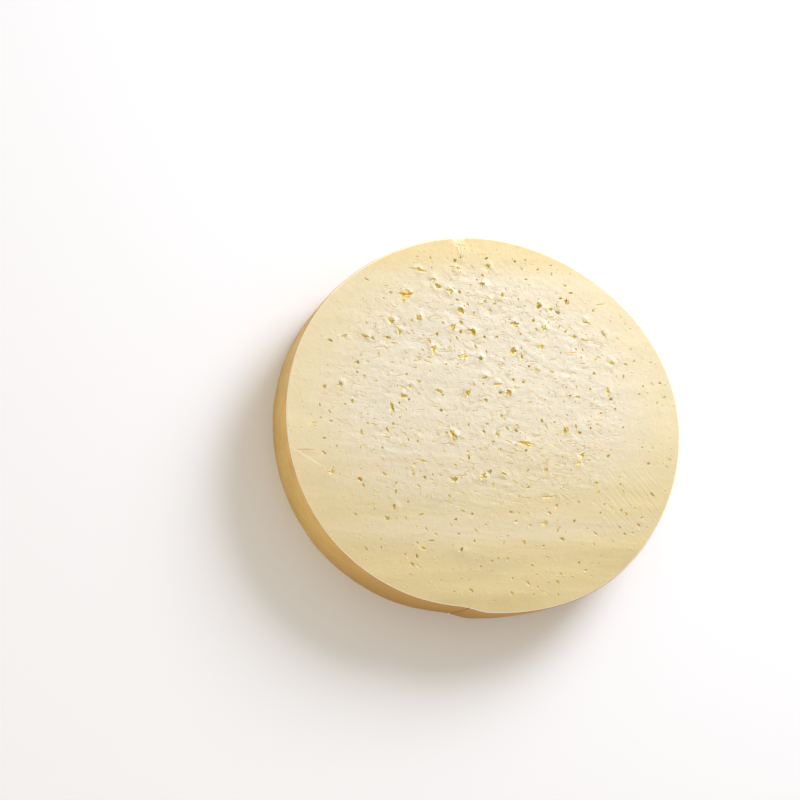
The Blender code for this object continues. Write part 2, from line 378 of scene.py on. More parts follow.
# The larger openings of the upper face: across, up, length, width in mm, turn in degrees
large_eyes = [
    (-39.7, 64.1, 6.8, 2.8, 2), (-41.5, 60.8, 2.4, 1.5, 0), (-32.0, 77.2, 5.0, 1.9, -8),
    (-24.8, 72.4, 2.0, 1.4, -20), (-22.5, 68.6, 3.4, 2.6, 70), (-16.4, 66.3, 4.0, 1.7, -38),
    (-9.0, 84.6, 2.1, 1.2, 80), (-11.1, 78.6, 2.8, 1.9, 75), (1.5, 70.6, 3.4, 2.1, 65),
    (5.6, 80.5, 2.2, 1.8, 50), (11.8, 65.0, 3.2, 1.7, 80), (32.3, 60.0, 3.1, 2.5, 35),
    (-11.6, 56.4, 4.8, 3.1, 75), (-34.2, 52.0, 3.0, 2.2, 30), (17.6, 49.5, 3.9, 2.9, 12),
    (33.3, 48.0, 3.0, 2.1, 75), (-16.6, 47.4, 4.8, 2.2, 62), (-5.9, 45.2, 3.6, 2.7, -50),
    (30.6, 38.0, 2.6, 1.9, 70), (15.3, 35.8, 3.2, 2.5, 60), (-27.7, 36.6, 5.0, 2.2, 75),
    (-48.6, 50.2, 4.0, 2.0, -55), (-44.7, 44.6, 3.4, 2.1, 80), (-63.0, 42.3, 4.4, 1.6, -30),
    (-74.0, 41.9, 3.8, 1.2, 20), (-12.5, 32.3, 4.8, 2.4, 5), (-3.2, 31.5, 2.8, 1.9, 20),
    (48.0, 62.8, 3.5, 2.1, 42), (38.3, 58.1, 2.9, 1.6, 10), (57.8, 51.6, 3.3, 1.3, 5),
    (50.0, 43.7, 2.4, 1.9, 30), (55.5, 41.8, 3.6, 1.1, -30), (67.0, 45.6, 3.6, 1.3, -65),
    (-77.2, 18.0, 3.0, 1.7, 65), (-42.0, 17.0, 2.5, 1.7, 45), (-45.6, 12.4, 3.2, 1.5, 10),
    (-51.7, 6.2, 4.6, 2.2, -80), (-27.3, 15.0, 4.2, 1.5, -20), (-11.8, 13.9, 3.8, 2.5, 75),
    (10.4, 13.9, 3.3, 2.6, 35), (-1.8, 21.6, 3.4, 1.2, 25), (4.8, 18.2, 4.6, 1.2, -3),
    (27.0, 25.9, 3.8, 1.2, -12), (69.6, 29.6, 2.5, 1.8, 5), (65.8, 15.2, 4.5, 1.8, 75),
    (1.6, -7.3, 2.7, 2.0, -30), (-21.2, -7.9, 5.0, 2.5, -76), (39.3, -5.8, 3.9, 2.9, 5),
    (16.4, -12.1, 7.4, 2.1, -15), (47.2, -18.3, 4.4, 2.3, 24), (45.0, -22.6, 3.8, 1.4, 15),
    (-38.8, -19.9, 4.0, 1.3, -15), (-22.8, -29.4, 3.1, 2.2, 10), (-7.4, -28.3, 3.0, 2.3, 30),
    (3.2, -27.0, 3.4, 1.6, -10), (26.0, -25.6, 3.0, 1.7, 10), (-84.2, -24.6, 2.6, 1.4, 10),
    (-70.7, -28.3, 2.9, 1.7, -52), (53.0, -32.8, 3.4, 1.4, -20), (25.0, -39.1, 4.9, 1.3, 10),
    (-54.7, -41.8, 3.2, 1.3, 82), (-58.5, -47.5, 2.4, 1.7, -15), (22.5, -52.2, 3.3, 1.6, 0),
    (-22.5, -63.6, 3.2, 1.5, 62), (-41.9, -61.9, 2.7, 1.6, -10), (-8.2, 91.2, 4.8, 0.6, -5),
]
# Those places are counted from the middle of the oval, and this is the middle of its box, in mm
disc_middle = (0.43, 0.43)
# The mouth of an opening is this much wider than what shows dark
width_with_lips = 1.15


def large_eye_points():
    """One point on the upper face for each larger opening, with its sizes as attributes."""
    mesh = bpy.data.meshes.new("large_eye_points")
    across, up, lengths, widths, turns = zip(*large_eyes)
    mesh.from_pydata([((x - disc_middle[0]) * mm, (y - disc_middle[1]) * mm, thickness)
                      for x, y in zip(across, up)], [], [])
    for name, values in (("length", lengths), ("width", [width_with_lips * width for width in widths]),
                         ("turn", [math.radians(turn) for turn in turns])):
        mesh.attributes.new(name, "FLOAT", "POINT").data.foreach_set("value", values)
    return new_object("large_eye_points", mesh)


def eye_tree():
    """Cuts the eyes and tears: uneven balls at the larger places, then at scattered ones."""
    number = "NodeSocketFloat"
    tree, given, result = new_tree("eyes and tears", {
        "Larger eyes": "NodeSocketObject", "Eye wall": "NodeSocketMaterial",
        "Small eye spacing": number, "Small eye longest": number,
        "Tear spacing": number, "Tear longest": number, "Depth share": number})
    length, width, turn, side = [add(tree, "GeometryNodeInputNamedAttribute", {"Name": name})
                                 for name in ("length", "width", "turn", "side")]

    def sized(points, sizes):
        """Keeps each opening's own length, width and turn on its point."""
        for name, value in sizes.items():
            points = add(tree, "GeometryNodeStoreNamedAttribute",
                         {"Geometry": points, "Name": name, "Value": value})
        return points

    def cut_from(surface, points, facets, outline_waves, sunk, large):
        """Sets an uneven ball into the surface at each point, and takes all of them away."""
        place = add(tree, "GeometryNodeInputPosition", {})
        nearest = add(tree, "GeometryNodeProximity", {"Geometry": surface, "Sample Position": place},
                      out="Position", target_element="FACES")
        points = add(tree, "GeometryNodeSetPosition", {"Geometry": points, "Position": nearest})
        depth = add(tree, "ShaderNodeMath", {0: width, 1: given["Depth share"]}, operation="MULTIPLY")
        uneven = add(tree, "FunctionNodeRandomValue", {"Min": 0.6, "Max": 1.2, "Seed": 33})
        depth = add(tree, "ShaderNodeMath", {0: depth, 1: uneven}, operation="MULTIPLY")
        sink = add(tree, "ShaderNodeMath", {0: side, 1: depth}, operation="MULTIPLY")
        sink = add(tree, "ShaderNodeMath", {0: sink, 1: -sunk * mm}, operation="MULTIPLY")
        down = add(tree, "ShaderNodeCombineXYZ", {"Z": sink})
        points = add(tree, "GeometryNodeSetPosition", {"Geometry": points, "Offset": down})
        shape = add(tree, "FunctionNodeRandomValue", {"Min": (0, 0, 0), "Max": (90, 90, 90), "Seed": 31},
                    **as_vector)
        for name, value in (("centre", add(tree, "GeometryNodeInputPosition", {})), ("shape", shape)):
            points = add(tree, "GeometryNodeStoreNamedAttribute",
                         {"Geometry": points, "Name": name, "Value": value}, **as_vector)
        ball = add(tree, "GeometryNodeMeshIcoSphere", {"Radius": 1.0, "Subdivisions": facets})
        ball = add(tree, "GeometryNodeStoreNamedAttribute",
                   {"Geometry": ball, "Name": "ball", "Value": add(tree, "GeometryNodeInputPosition", {})},
                   **as_vector)
        ball = add(tree, "GeometryNodeStoreNamedAttribute",
                   {"Geometry": ball, "Name": "large", "Value": large})
        ball = add(tree, "GeometryNodeStoreNamedAttribute",
                   {"Geometry": ball, "Name": "wall", "Value": 1.0}, domain="FACE")
        half_length = add(tree, "ShaderNodeMath", {0: length, 1: 0.5 * mm}, operation="MULTIPLY")
        half_width = add(tree, "ShaderNodeMath", {0: width, 1: 0.5 * mm}, operation="MULTIPLY")
        half_depth = add(tree, "ShaderNodeMath", {0: depth, 1: mm}, operation="MULTIPLY")
        size = add(tree, "ShaderNodeCombineXYZ", {"X": half_length, "Y": half_width, "Z": half_depth})
        spin = add(tree, "ShaderNodeCombineXYZ", {"Z": turn})
        balls = add(tree, "GeometryNodeInstanceOnPoints",
                    {"Points": points, "Instance": ball, "Rotation": spin, "Scale": size})
        balls = add(tree, "GeometryNodeRealizeInstances", {"Geometry": balls})
        # Each ball swells and shrinks round its own middle, so that no two openings are alike
        here = add(tree, "GeometryNodeInputPosition", {})
        own = add(tree, "GeometryNodeInputNamedAttribute", {"Name": "ball"}, **as_vector)
        own = add(tree, "ShaderNodeVectorMath", {0: own, "Scale": outline_waves}, operation="SCALE")
        own_shape = add(tree, "GeometryNodeInputNamedAttribute", {"Name": "shape"}, **as_vector)
        own = add(tree, "ShaderNodeVectorMath", {0: own, 1: own_shape}, operation="ADD")
        grow = add(tree, "ShaderNodeTexNoise",
                   {"Vector": own, "Scale": 1.0, "Detail": 2.0, "Roughness": 0.5})
        grow = add(tree, "ShaderNodeMapRange", {"Value": grow, "From Min": 0.32, "From Max": 0.7,
                                                "To Min": 0.45, "To Max": 1.8})
        middle = add(tree, "GeometryNodeInputNamedAttribute", {"Name": "centre"}, **as_vector)
        out = add(tree, "ShaderNodeVectorMath", {0: here, 1: middle}, operation="SUBTRACT")
        out = add(tree, "ShaderNodeVectorMath", {0: out, "Scale": grow}, operation="SCALE")
        out = add(tree, "ShaderNodeVectorMath", {0: out, 1: middle}, operation="ADD")
        balls = add(tree, "GeometryNodeSetPosition", {"Geometry": balls, "Position": out})
        balls = add(tree, "GeometryNodeSetMaterial", {"Geometry": balls, "Material": given["Eye wall"]})
        return add(tree, "GeometryNodeMeshBoolean", {"Mesh 1": surface, "Mesh 2": balls},
                   operation="DIFFERENCE", solver="MANIFOLD")

    body = given["Geometry"]
    normal_z = add(tree, "ShaderNodeSeparateXYZ", {0: add(tree, "GeometryNodeInputNormal", {})}, out="Z")
    flat = add(tree, "ShaderNodeMath", {0: normal_z}, operation="ABSOLUTE")
    flat = add(tree, "ShaderNodeMath", {0: flat, 1: 0.9}, operation="GREATER_THAN")
    position = add(tree, "GeometryNodeInputPosition", {})
    in_mm = add(tree, "ShaderNodeVectorMath", {0: position, "Scale": 1 / mm}, operation="SCALE")
    from_edge = add(tree, "GeometryNodeInputNamedAttribute", {"Name": "from_edge"})
    across_face = add(tree, "ShaderNodeSeparateXYZ", {0: in_mm}, out="X")
    bare = add(tree, "ShaderNodeMapRange", {"Value": across_face, "From Min": -60.0, "From Max": -85.0,
                                            "To Min": 5.0 * mm, "To Max": 13.0 * mm})
    inside = add(tree, "ShaderNodeMath", {0: from_edge, 1: bare}, operation="GREATER_THAN")
    flat = add(tree, "ShaderNodeMath", {0: flat, 1: inside}, operation="MULTIPLY")
    torn = torn_share(tree, in_mm)
    # Small eyes thin out towards the sides, but stay frequent low on the face; tears keep to the torn part
    up_face = add(tree, "ShaderNodeSeparateXYZ", {0: in_mm}, out="Y")
    least = add(tree, "ShaderNodeMapRange", {"Value": up_face, "From Min": -40.0, "From Max": -60.0,
                                             "To Min": 0.55, "To Max": 1.0})
    eye_density = add(tree, "ShaderNodeMath", {0: torn, 1: least}, operation="MAXIMUM")
    tear_density = add(tree, "ShaderNodeMapRange", {"Value": torn, "From Min": 0.2, "From Max": 0.8,
                                                    "To Min": 0.12, "To Max": 1.0})
    larger = add(tree, "GeometryNodeObjectInfo", {"Object": given["Larger eyes"]}, out="Geometry")
    larger = add(tree, "GeometryNodeMeshToPoints", {"Mesh": larger})
    larger = sized(larger, {"side": 1.0})
    near = add(tree, "GeometryNodeProximity", {"Geometry": larger, "Sample Position": position},
               out="Distance", target_element="POINTS")
    clear_of_larger = 3.2 * mm
    too_near = add(tree, "ShaderNodeMath", {0: near, 1: clear_of_larger}, operation="LESS_THAN")

    def scattered(spacing, density, share, seed):
        """Points over both cut faces, no closer than spacing, and clear of the larger openings."""
        gap = add(tree, "ShaderNodeMath", {0: spacing, 1: mm}, operation="MULTIPLY")
        points = add(tree, "GeometryNodeDistributePointsOnFaces",
                     {"Mesh": body, "Selection": flat, "Distance Min": gap, "Density Max": 2e5,
                      "Density Factor": density, "Seed": seed}, out="Points", distribute_method="POISSON")
        normal = points.node.outputs["Normal"]
        outward = add(tree, "ShaderNodeSeparateXYZ", {0: normal}, out="Z")
        outward = add(tree, "ShaderNodeMath", {0: outward}, operation="SIGN")
        points = sized(points, {"side": outward})
        points = add(tree, "GeometryNodeDeleteGeometry", {"Geometry": points, "Selection": too_near},
                     domain="POINT")
        chance = add(tree, "FunctionNodeRandomValue", {"Min": 0.0, "Max": 1.0, "Seed": seed + 5})
        left_out = add(tree, "ShaderNodeMath", {0: chance, 1: share}, operation="GREATER_THAN")
        return add(tree, "GeometryNodeDeleteGeometry", {"Geometry": points, "Selection": left_out},
                   domain="POINT")

    small = scattered(given["Small eye spacing"], eye_density, share=0.6, seed=3)
    small_length = add(tree, "FunctionNodeRandomValue",
                       {"Min": 1.0, "Max": given["Small eye longest"], "Seed": 11})
    slim = add(tree, "FunctionNodeRandomValue", {"Min": 0.36, "Max": 0.9, "Seed": 12})
    slim = add(tree, "ShaderNodeMath", {0: length, 1: slim}, operation="MULTIPLY")
    small_turn = add(tree, "FunctionNodeRandomValue", {"Min": -1.4, "Max": 1.4, "Seed": 13})
    small = sized(small, {"length": small_length, "width": slim, "turn": small_turn})
    tears = scattered(given["Tear spacing"], tear_density, share=0.8, seed=4)
    tears = sized(tears, {
        "length": add(tree, "FunctionNodeRandomValue",
                      {"Min": 1.5, "Max": given["Tear longest"], "Seed": 14}),
        "width": add(tree, "FunctionNodeRandomValue", {"Min": 0.35, "Max": 0.8, "Seed": 15}),
        "turn": add(tree, "FunctionNodeRandomValue", {"Min": -0.6, "Max": 0.3, "Seed": 16})})
    body = cut_from(body, larger, facets=3, outline_waves=1.3, sunk=0.0, large=1.0)
    body = cut_from(body, small, facets=1, outline_waves=1.8, sunk=-0.1, large=0.0)
    body = cut_from(body, tears, facets=1, outline_waves=1.0, sunk=0.0, large=0.6)
    # A thin crack runs on through most of the larger openings
    tail_reach = 1.9
    tail_length = add(tree, "ShaderNodeMath", {0: length, 1: tail_reach}, operation="MULTIPLY")
    tails = sized(larger, {
        "length": tail_length,
        "width": add(tree, "FunctionNodeRandomValue", {"Min": 0.35, "Max": 0.6, "Seed": 17}),
        "turn": add(tree, "FunctionNodeRandomValue", {"Min": -0.5, "Max": 0.2, "Seed": 18})})
    body = cut_from(body, tails, facets=1, outline_waves=1.0, sunk=0.0, large=0.0)
    body = add(tree, "GeometryNodeRealizeInstances", {"Geometry": body})
    wall = add(tree, "GeometryNodeInputNamedAttribute", {"Name": "wall"})
    body = add(tree, "GeometryNodeSetMaterial",
               {"Geometry": body, "Selection": wall, "Material": given["Eye wall"]})
    tree.links.new(body, result)
    return tree


# Cut paste: moist, waxy and slightly see-through, so light bleeds through its ridges; yellower towards
# the rind, where it is drier; torn curd leaves broken hairline cracks that run with the pull
paste, tree, shader, in_mm = new_material("cut_cheese_paste")
reach = ellipse_reach(tree, in_mm, (0.0, 0.0, thickness / mm), disc_half_size)
ring = add(tree, "ShaderNodeMapRange", {"Value": reach, "From Min": 0.55, "From Max": 1.0}, **eased)
torn = torn_share(tree, in_mm)
pulled = drawn_out(tree, in_mm, pull_turn, per_mm=(0.07, 0.2, 0.1))
crack = add(tree, "ShaderNodeTexNoise",
            {"Vector": pulled, "Scale": 1.0, "Detail": 4.0, "Distortion": 0.8})
crack = add(tree, "ShaderNodeMath", {0: crack, 1: 0.5}, operation="SUBTRACT")
crack = add(tree, "ShaderNodeMath", {0: crack}, operation="ABSOLUTE")
crack = add(tree, "ShaderNodeMapRange", {"Value": crack, "From Min": 0.03, "From Max": 0.004}, **eased)
broken = add(tree, "ShaderNodeTexNoise", {"Vector": in_mm, "Scale": 0.28, "Detail": 2.0})
broken = add(tree, "ShaderNodeMapRange", {"Value": broken, "From Min": 0.46, "From Max": 0.56})
crack = add(tree, "ShaderNodeMath", {0: crack, 1: broken}, operation="MULTIPLY")
crack = add(tree, "ShaderNodeMath", {0: crack, 1: torn}, operation="MULTIPLY")
crack_shade_tint, crack_bump = 0.55, -0.4
mottle = add(tree, "ShaderNodeTexNoise",
             {"Vector": in_mm, "Scale": 0.12, "Detail": 5.0, "Roughness": 0.6})
mottle = add(tree, "ShaderNodeMapRange",
             {"Value": mottle, "From Min": 0.3, "From Max": 0.7, "To Min": 0.94})
up_face = add(tree, "ShaderNodeSeparateXYZ", {0: in_mm}, out="Y")
# Painted shade: the paste turns darker and yellower towards the lower edge of the face
low_side_shade = add(tree, "ShaderNodeMapRange", {"Value": up_face, "From Min": 15.0, "From Max": -90.0},
               **eased)
high_side = add(tree, "ShaderNodeMapRange", {"Value": up_face, "From Min": 72.0, "From Max": 84.0},
                **eased)
dry = add(tree, "ShaderNodeMix",
          {"Factor": low_side_shade, "A": hex_colour("e5dab8"), "B": hex_colour("d1c292")}, **as_colour)
dry = add(tree, "ShaderNodeMix", {"Factor": high_side, "A": dry, "B": hex_colour("e6d5a4")}, **as_colour)
moist = add(tree, "ShaderNodeMix",
            {"Factor": low_side_shade, "A": hex_colour("e3ddcb"), "B": hex_colour("d5c8a1")}, **as_colour)
colour = add(tree, "ShaderNodeMix", {"Factor": ring, "A": moist, "B": dry}, **as_colour)
colour = add(tree, "ShaderNodeVectorMath", {0: colour, "Scale": mottle}, operation="SCALE")
# Broad level bands low on the face, where the blade pressed whey out of the paste
band = add(tree, "ShaderNodeVectorMath", {0: in_mm, 1: (0.012, 0.06, 0.03)}, operation="MULTIPLY")
band = add(tree, "ShaderNodeTexNoise", {"Vector": band, "Scale": 1.0, "Detail": 1.0, "Distortion": 0.4})
band = add(tree, "ShaderNodeMapRange", {"Value": band, "From Min": 0.35, "From Max": 0.65})
band = add(tree, "ShaderNodeMath", {0: band, 1: low_side_shade}, operation="MULTIPLY")
colour = add(tree, "ShaderNodeMix", {"Factor": band, "A": colour, "B": hex_colour("dacc9f")}, **as_colour)
# Painted shade: the hairline cracks are tinted a darker gold
crack_shade = add(tree, "ShaderNodeMath", {0: crack, 1: crack_shade_tint}, operation="MULTIPLY")
colour = add(tree, "ShaderNodeMix", {"Factor": crack_shade, "A": colour, "B": hex_colour("cdb276")},
             **as_colour)
# Marks of the knife: a paler level stretch low down, a furrow and its drawn-out pale burr at the left
# edge, and two small ridges at the nick. Each is its middle in mm, turn in degrees, half size in mm,
# rise, colour and how much of that colour shows
strokes, stroke_depth = 0.0, 6.0
for place, turn, half_size, rise, tint, share in (
        ((0.0, -54.5), -1, (130.0, 12.0), 0.0, "ddd3b9", 0.7),
        ((-97.0, -14.3), -1, (6.8, 0.6), -0.25, "c0914e", 0.5),
        ((-96.6, -15.6), -1, (6.4, 1.5), 0.0, "d9b78c", 0.3),
        ((-95.4, -18.4), -34, (15.0, 1.1), 0.12, "fbf6e4", 0.25),
        ((-9.9, 88.3), 90, (3.2, 0.5), 0.3, "fff6dc", 0.4),
        ((-8.3, 88.3), 90, (3.2, 0.5), 0.3, "fff6dc", 0.4)):
    stroke = add(tree, "ShaderNodeVectorMath", {0: in_mm, 1: (*place, thickness / mm)},
                 operation="SUBTRACT")
    stroke = add(tree, "ShaderNodeVectorRotate", {"Vector": stroke, "Angle": math.radians(-turn)},
                 rotation_type="Z_AXIS")
    stroke = ellipse_reach(tree, stroke, (0.0, 0.0, 0.0), (*half_size, stroke_depth))
    stroke = add(tree, "ShaderNodeMapRange", {"Value": stroke, "From Min": 1.0, "From Max": 0.2}, **eased)
    strokes = add(tree, "ShaderNodeMath", {0: stroke, 1: rise, 2: strokes}, operation="MULTIPLY_ADD")
    tinted = add(tree, "ShaderNodeMath", {0: stroke, 1: share}, operation="MULTIPLY")
    colour = add(tree, "ShaderNodeMix", {"Factor": tinted, "A": colour, "B": hex_colour(tint)},
                 **as_colour)
tree.links.new(colour, shader.inputs["Base Color"])
set_shader(shader, {"Subsurface Weight": 0.5, "Subsurface Radius": (1.0, 0.75, 0.45),
                    "Subsurface Scale": 1.6 * mm, "Roughness": 0.42})
grain = add(tree, "ShaderNodeTexNoise", {"Vector": in_mm, "Scale": 0.4, "Detail": 3.0, "Roughness": 0.58})
rough_share = add(tree, "ShaderNodeMapRange", {"Value": torn, "To Min": 0.34, "To Max": 1.0})
grain = add(tree, "ShaderNodeMath", {0: grain, 1: rough_share}, operation="MULTIPLY")
height = add(tree, "ShaderNodeMath", {0: crack, 1: crack_bump, 2: grain}, operation="MULTIPLY_ADD")
# The blade left long shallow lines across the lower part
blade = drawn_out(tree, in_mm, turn=3, per_mm=(0.03, 0.13, 0.1))
blade = add(tree, "ShaderNodeTexNoise", {"Vector": blade, "Scale": 1.0, "Detail": 2.0, "Distortion": 0.3})
blade_share = add(tree, "ShaderNodeMapRange", {"Value": up_face, "From Min": -10.0, "From Max": -50.0,
                                               "To Min": 0.1, "To Max": 1.1})
blade = add(tree, "ShaderNodeMath", {0: blade, 1: blade_share}, operation="MULTIPLY")
height = add(tree, "ShaderNodeMath", {0: blade, 1: height}, operation="ADD")
# Drawn fibres low on the right, and the marks of the knife's tip
fibre = drawn_out(tree, in_mm, turn=52, per_mm=(0.09, 0.75, 0.3))
fibre = add(tree, "ShaderNodeTexNoise", {"Vector": fibre, "Scale": 1.0, "Detail": 2.0})
fibre_middle, fibre_half_size = (70.0, -44.0, thickness / mm), (26.0, 24.0, 20.0)
fibre_reach = ellipse_reach(tree, in_mm, fibre_middle, fibre_half_size)
fibre_share = add(tree, "ShaderNodeMapRange", {"Value": fibre_reach, "From Min": 1.0, "From Max": 0.5,
                                               "To Max": 0.7})
fibre = add(tree, "ShaderNodeMath", {0: fibre, 1: fibre_share}, operation="MULTIPLY")
height = add(tree, "ShaderNodeMath", {0: height, 1: fibre}, operation="ADD")
height = add(tree, "ShaderNodeMath", {0: height, 1: strokes}, operation="ADD")
bump = add(tree, "ShaderNodeBump", {"Height": height, "Strength": 1.0, "Distance": 0.37 * mm})
tree.links.new(bump, shader.inputs["Normal"])

# Eye walls: the bare inside of an opening, shiny with whey and deeper in colour as it goes down, with a
# painted highlight in near-white at the top of each wall
eye_wall, tree, shader, in_mm = new_material("moist_eye_wall")
own_place = add(tree, "ShaderNodeAttribute", {}, out="Vector", attribute_name="ball")
own_height = add(tree, "ShaderNodeSeparateXYZ", {0: own_place}, out="Z")
depth = add(tree, "ShaderNodeMapRange", {"Value": own_height, "From Min": 0.2, "From Max": -0.6})
own_shape = add(tree, "ShaderNodeAttribute", {}, out="Vector", attribute_name="shape")
tone = add(tree, "ShaderNodeTexWhiteNoise", {"Vector": own_shape}, out="Value")
deep = add(tree, "ShaderNodeMix", {"Factor": tone, "A": hex_colour("efd070"), "B": hex_colour("ece99c")},
           **as_colour)
large = add(tree, "ShaderNodeAttribute", {}, out="Fac", attribute_name="large")
deep = add(tree, "ShaderNodeMix", {"Factor": large, "A": hex_colour("dbcc90"), "B": deep}, **as_colour)
# Painted highlight: the upper wall, by the mouth of the opening, is near-white
colour = add(tree, "ShaderNodeMix", {"Factor": depth, "A": hex_colour("faf2d2"), "B": deep}, **as_colour)
tree.links.new(colour, shader.inputs["Base Color"])
set_shader(shader, {"Subsurface Weight": 0.7, "Subsurface Radius": (1.0, 0.8, 0.4),
                    "Subsurface Scale": 1.8 * mm, "Roughness": 0.4})

# Rind: dried and pressed, dull and tan, the tan partly painted shade; painted shade in the furrows between
# the ribs and a faint painted highlight on their crests
rind_material, tree, shader, in_mm = new_material("pressed_dry_rind")
patch = add(tree, "ShaderNodeTexNoise", {"Vector": in_mm, "Scale": 0.08, "Detail": 5.0, "Roughness": 0.6})
patch = add(tree, "ShaderNodeMapRange", {"Value": patch, "From Min": 0.3, "From Max": 0.7})
colour = add(tree, "ShaderNodeMix",
             {"Factor": patch, "A": hex_colour("cfa85e"), "B": hex_colour("ddbc72")}, **as_colour)
up_face = add(tree, "ShaderNodeSeparateXYZ", {0: in_mm}, out="Y")
# Painted shade: the rind darkens towards the lower side of the slice
low_side_shade = add(tree, "ShaderNodeMapRange", {"Value": up_face, "From Min": -50.0, "From Max": -95.0},
               **eased)
colour = add(tree, "ShaderNodeMix", {"Factor": low_side_shade, "A": colour, "B": hex_colour("bb8f46")},
             **as_colour)
around = add(tree, "ShaderNodeMath", {0: up_face, 1: up_face.node.outputs["X"]}, operation="ARCTAN2")
around = add(tree, "ShaderNodeMath", {0: around, 1: float(rib_count)}, operation="MULTIPLY")
# Painted shade in the furrows between the ribs, and a faint painted highlight on the rib crests
furrow_shade = add(tree, "ShaderNodeMath", {0: around}, operation="SINE")
furrow_shade = add(tree, "ShaderNodeMapRange", {"Value": furrow_shade, "From Min": -1.0, "From Max": 0.6,
                                          "To Min": 0.88, "To Max": 1.05})
colour = add(tree, "ShaderNodeVectorMath", {0: colour, "Scale": furrow_shade}, operation="SCALE")
# Painted shade: the rind darkens towards the face that lies underneath
level = add(tree, "ShaderNodeSeparateXYZ", {0: in_mm}, out="Z")
level = add(tree, "ShaderNodeMapRange", {"Value": level, "From Min": 4.0, "From Max": 26.0,
                                         "To Min": 0.92, "To Max": 1.07})
colour = add(tree, "ShaderNodeVectorMath", {0: colour, "Scale": level}, operation="SCALE")
# Painted shade: a dark brown line down the crease of the seam
crease = add(tree, "ShaderNodeMath", {0: seam_share(tree, in_mm), 1: 0.6}, operation="MULTIPLY")
colour = add(tree, "ShaderNodeMix", {"Factor": crease, "A": colour, "B": hex_colour("7c5a2a")},
             **as_colour)
tree.links.new(colour, shader.inputs["Base Color"])
set_shader(shader, {"Subsurface Weight": 0.1, "Subsurface Radius": (1.0, 0.7, 0.4),
                    "Subsurface Scale": 1.5 * mm, "Roughness": 0.6})

# Cut edge: the thin bevel where the saw broke through the rind, crumbly, near-white as a painted highlight
# along the edge
cut_edge, tree, shader, in_mm = new_material("cut_edge_painted_highlight")
crumble = add(tree, "ShaderNodeTexNoise", {"Vector": in_mm, "Scale": 0.5, "Detail": 3.0})
colour = add(tree, "ShaderNodeMix",
             {"Factor": crumble, "A": hex_colour("f6eed6"), "B": hex_colour("fffaf0")}, **as_colour)
tree.links.new(colour, shader.inputs["Base Color"])
set_shader(shader, {"Roughness": 0.7})


def apply_tree(ob, tree, values):
    """Runs a Geometry Nodes tree on an object, with its named inputs set, and keeps the plain mesh."""
    modifier = ob.modifiers.new(tree.name, "NODES")
    modifier.node_group = tree
    sockets = {item.name: item.identifier for item in tree.interface.items_tree if item.in_out == "INPUT"}
    for name, value in values.items():
        modifier[sockets[name]] = value
    evaluated = ob.evaluated_get(bpy.context.evaluated_depsgraph_get())
    mesh = bpy.data.meshes.new_from_object(evaluated)
    ob.modifiers.remove(modifier)
    ob.data = mesh


def clear_chips(mesh, weld, fewest_points):
    """Joins points that all but touch, and drops the loose chips that the cuts left behind."""
    bm = bmesh.new()
    bm.from_mesh(mesh)
    bmesh.ops.remove_doubles(bm, verts=bm.verts[:], dist=weld)
    unseen = set(bm.verts)
    chips = []
    while unseen:
        part = [unseen.pop()]
        for vert in part:
            joined = {edge.other_vert(vert) for edge in vert.link_edges} & unseen
            unseen -= joined
            part.extend(joined)
        if len(part) < fewest_points:
            chips.extend(part)
    bmesh.ops.delete(bm, geom=chips, context="VERTS")
    bm.to_mesh(mesh)
    bm.free()


slice_body = make_blank()
finishes = {paste_slot: paste, rind_slot: rind_material, wall_slot: eye_wall,
            cut_edge_slot: cut_edge}
for slot in sorted(finishes):
    slice_body.data.materials.append(finishes[slot])
eye_points = large_eye_points()
apply_tree(slice_body, relief_tree(), {
    "Larger eyes": eye_points, "Cut paste": paste, "Lip height": 0.42, "Nick depth": 0.6,
    "Torn lumps": 0.36, "Ledges": 0.13, "Drag ridges": 0.12, "Slow waves": 0.7,
    "Rib count": float(rib_count), "Rib height": 0.14, "Rind dents": 0.5, "Seam depth": 0.45})
apply_tree(slice_body, eye_tree(), {
    "Larger eyes": eye_points, "Eye wall": eye_wall, "Small eye spacing": 3.7, "Small eye longest": 3.0,
    "Tear spacing": 5.5, "Tear longest": 5.6, "Depth share": 0.4})
slice_body.data.name = "cheese_slice_body"
bpy.data.objects.remove(eye_points)
for name in ("length", "width", "turn", "side", "centre", "wall", "id", "from_edge"):
    if name in slice_body.data.attributes:
        slice_body.data.attributes.remove(slice_body.data.attributes[name])
clear_chips(slice_body.data, weld=0.001 * mm, fewest_points=1000)
slice_body.data.set_sharp_from_angle(angle=math.radians(30))
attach(slice_body, "root")
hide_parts("cheese_slice")

# ---------------------------------------------------------------------------------------------
# The crumbs. Specks of curd, a fraction of a millimetre across, that the knife left standing on
# the cut face. They are the same paste, dry and pale because they have lost their moisture.
# ---------------------------------------------------------------------------------------------
crumb_paste, tree, shader, in_mm = new_material("dry_curd_crumbs")
fleck = add(tree, "ShaderNodeTexNoise", {"Vector": in_mm, "Scale": 0.4, "Detail": 1.0})
colour = add(tree, "ShaderNodeMix", {"Factor": fleck, "A": hex_colour("ecdfb8"), "B": hex_colour("faf3da")},
             **as_colour)
tree.links.new(colour, shader.inputs["Base Color"])
set_shader(shader, {"Roughness": 0.65})


